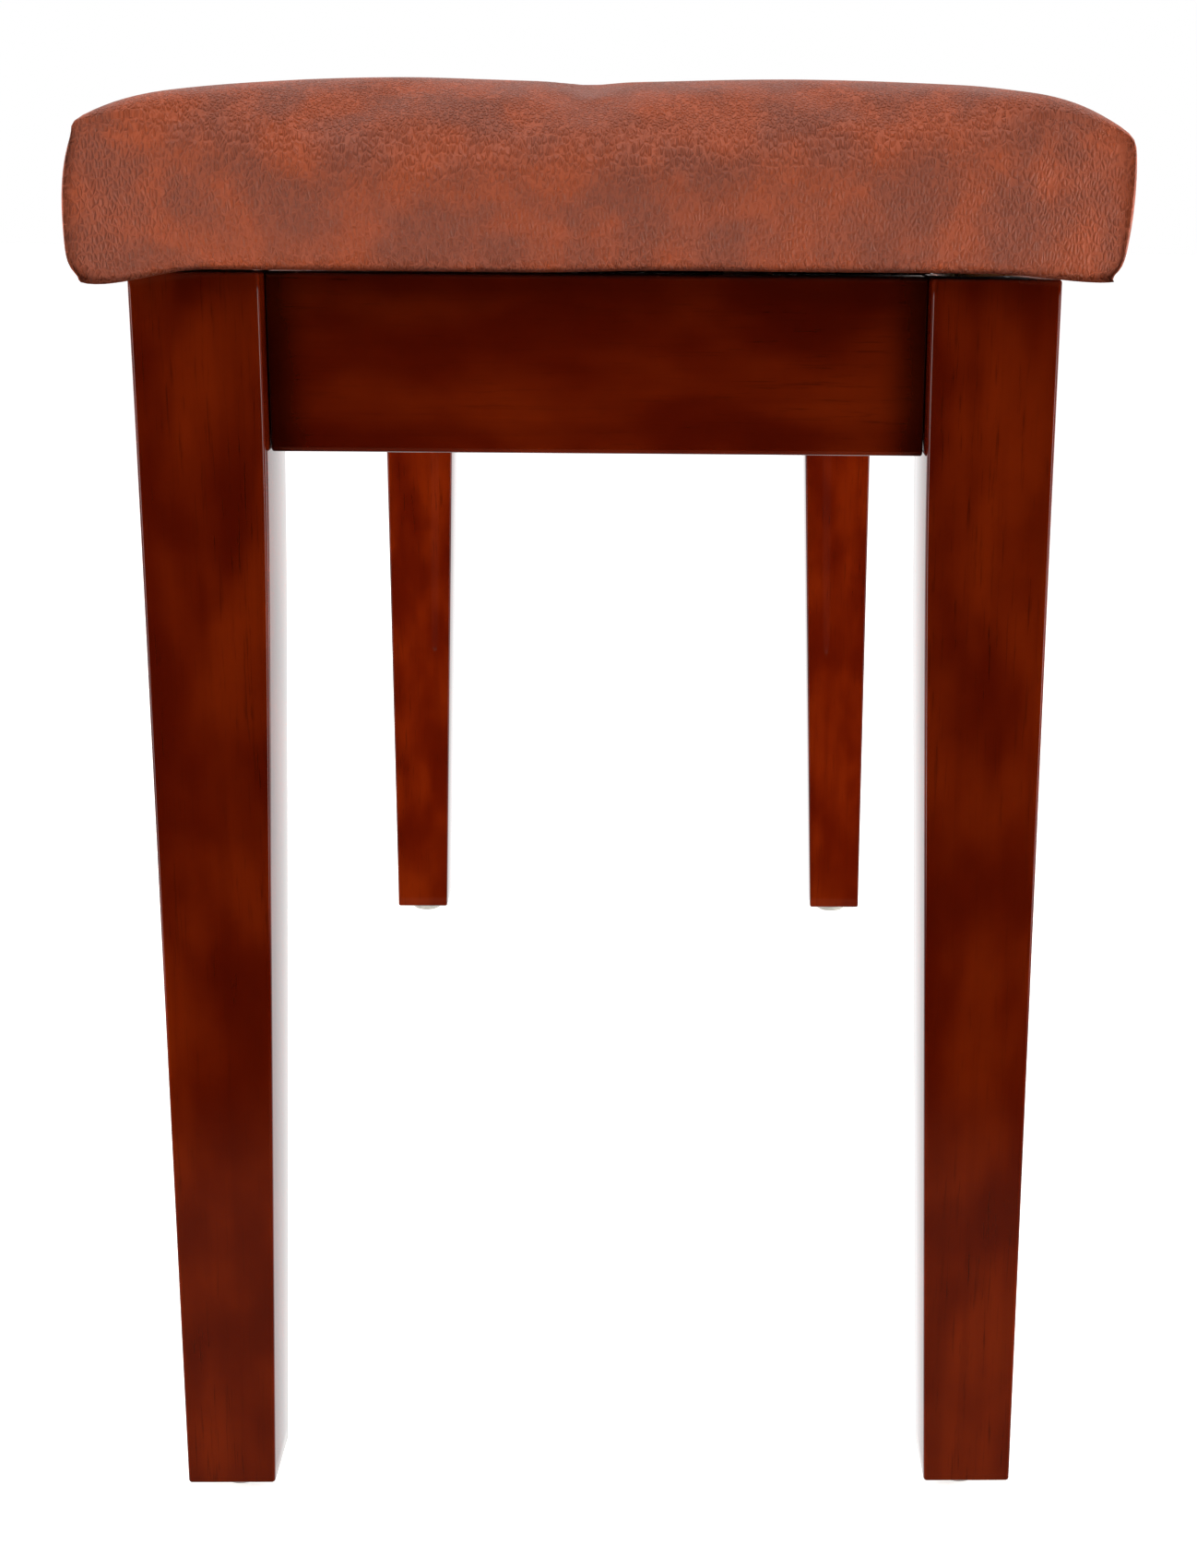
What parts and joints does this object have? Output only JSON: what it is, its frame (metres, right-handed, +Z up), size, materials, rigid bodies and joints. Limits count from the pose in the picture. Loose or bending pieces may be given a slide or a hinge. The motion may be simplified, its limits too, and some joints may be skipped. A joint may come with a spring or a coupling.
{
  "type": "piano bench",
  "caption": "Duet piano bench: button-tufted leatherette seat hinged as a lid on a storage box with four square tapered legs.",
  "frame": {"origin": "on the floor, under the centre of the seat", "axes": "+X along the bench, +Y across it towards the lid's hinges, +Z up"},
  "size_m": [0.7666, 0.3386, 0.505],
  "materials": {
    "mahogany_lacquer": "high-gloss red mahogany lacquer",
    "leatherette": "pebbled, mottled red-brown leatherette",
    "plywood": "raw plywood",
    "hardboard": "smooth brown hardboard",
    "foam": "open-cell foam",
    "lining": "black non-woven dust cloth",
    "zinc_steel": "zinc plated",
    "brass_steel": "brass plated steel",
    "glide_nylon": "grey moulded nylon",
    "rubber": "matte black rubber"
  },
  "bodies": {
    "bench": {"leg_right_front": "mahogany_lacquer", "foot_glide_right_front": "glide_nylon", "corner_bracket_right_front": "zinc_steel", "leg_bolt_right_front": "zinc_steel", "leg_right_back": "mahogany_lacquer", "foot_glide_right_back": "glide_nylon", "corner_bracket_right_back": "zinc_steel", "leg_bolt_right_back": "zinc_steel", "leg_left_front": "mahogany_lacquer", "foot_glide_left_front": "glide_nylon", "corner_bracket_left_front": "zinc_steel", "leg_bolt_left_front": "zinc_steel", "leg_left_back": "mahogany_lacquer", "foot_glide_left_back": "glide_nylon", "corner_bracket_left_back": "zinc_steel", "leg_bolt_left_back": "zinc_steel", "apron_front": "mahogany_lacquer", "apron_back": "mahogany_lacquer", "apron_left": "mahogany_lacquer", "apron_right": "mahogany_lacquer", "storage_floor": "hardboard", "hinge_box_leaf_right": "brass_steel", "hinge_pin_right": "brass_steel", "stay_box_plate_right": "zinc_steel", "hinge_box_leaf_left": "brass_steel", "hinge_pin_left": "brass_steel", "stay_box_plate_left": "zinc_steel"},
    "lid": {"seat_board": "plywood", "foam_pad": "foam", "seat_cover": "leatherette", "underside_lining": "lining", "tuft_button_01": "leatherette", "tuft_button_02": "leatherette", "tuft_button_03": "leatherette", "tuft_button_04": "leatherette", "tuft_button_05": "leatherette", "tuft_button_06": "leatherette", "tuft_button_07": "leatherette", "tuft_button_08": "leatherette", "tuft_button_09": "leatherette", "tuft_button_10": "leatherette", "tuft_button_11": "leatherette", "tuft_button_12": "leatherette", "tuft_button_13": "leatherette", "hinge_lid_leaf_right": "brass_steel", "stay_lid_plate_right": "zinc_steel", "lid_bumper_right": "rubber", "hinge_lid_leaf_left": "brass_steel", "stay_lid_plate_left": "zinc_steel", "lid_bumper_left": "rubber"},
    "stay_lower_right": {"stay_lower_arm_right": "zinc_steel"},
    "stay_upper_right": {"stay_upper_arm_right": "zinc_steel"},
    "stay_lower_left": {"stay_lower_arm_left": "zinc_steel"},
    "stay_upper_left": {"stay_upper_arm_left": "zinc_steel"}
  },
  "joints": [
    {"name": "lid_hinge", "type": "hinge", "parent": "bench", "child": "lid", "pos_m": [0, 0.152, 0.444], "axis": [-1, 0, 0], "range_deg": [0, 75]},
    {"name": "stay_lower_right_pivot", "type": "hinge", "parent": "bench", "child": "stay_lower_right", "pos_m": [0.3309, 0.052, 0.406], "axis": [-1, 0, 0], "range_deg": [0, 75]},
    {"name": "stay_elbow_right", "type": "hinge", "parent": "stay_lower_right", "child": "stay_upper_right", "pos_m": [0.3286, -0.05, 0.4], "axis": [-1, 0, 0], "range_deg": [-75, 0]},
    {"name": "stay_lower_left_pivot", "type": "hinge", "parent": "bench", "child": "stay_lower_left", "pos_m": [-0.3309, 0.052, 0.406], "axis": [-1, 0, 0], "range_deg": [0, 75]},
    {"name": "stay_elbow_left", "type": "hinge", "parent": "stay_lower_left", "child": "stay_upper_left", "pos_m": [-0.3286, -0.05, 0.4], "axis": [-1, 0, 0], "range_deg": [-75, 0]}
  ],
  "couplings": [
    {"joint": "stay_lower_right_pivot", "follows": "lid_hinge", "ratio": 1},
    {"joint": "stay_elbow_right", "follows": "lid_hinge", "ratio": -1},
    {"joint": "stay_lower_left_pivot", "follows": "lid_hinge", "ratio": 1},
    {"joint": "stay_elbow_left", "follows": "lid_hinge", "ratio": -1}
  ]
}
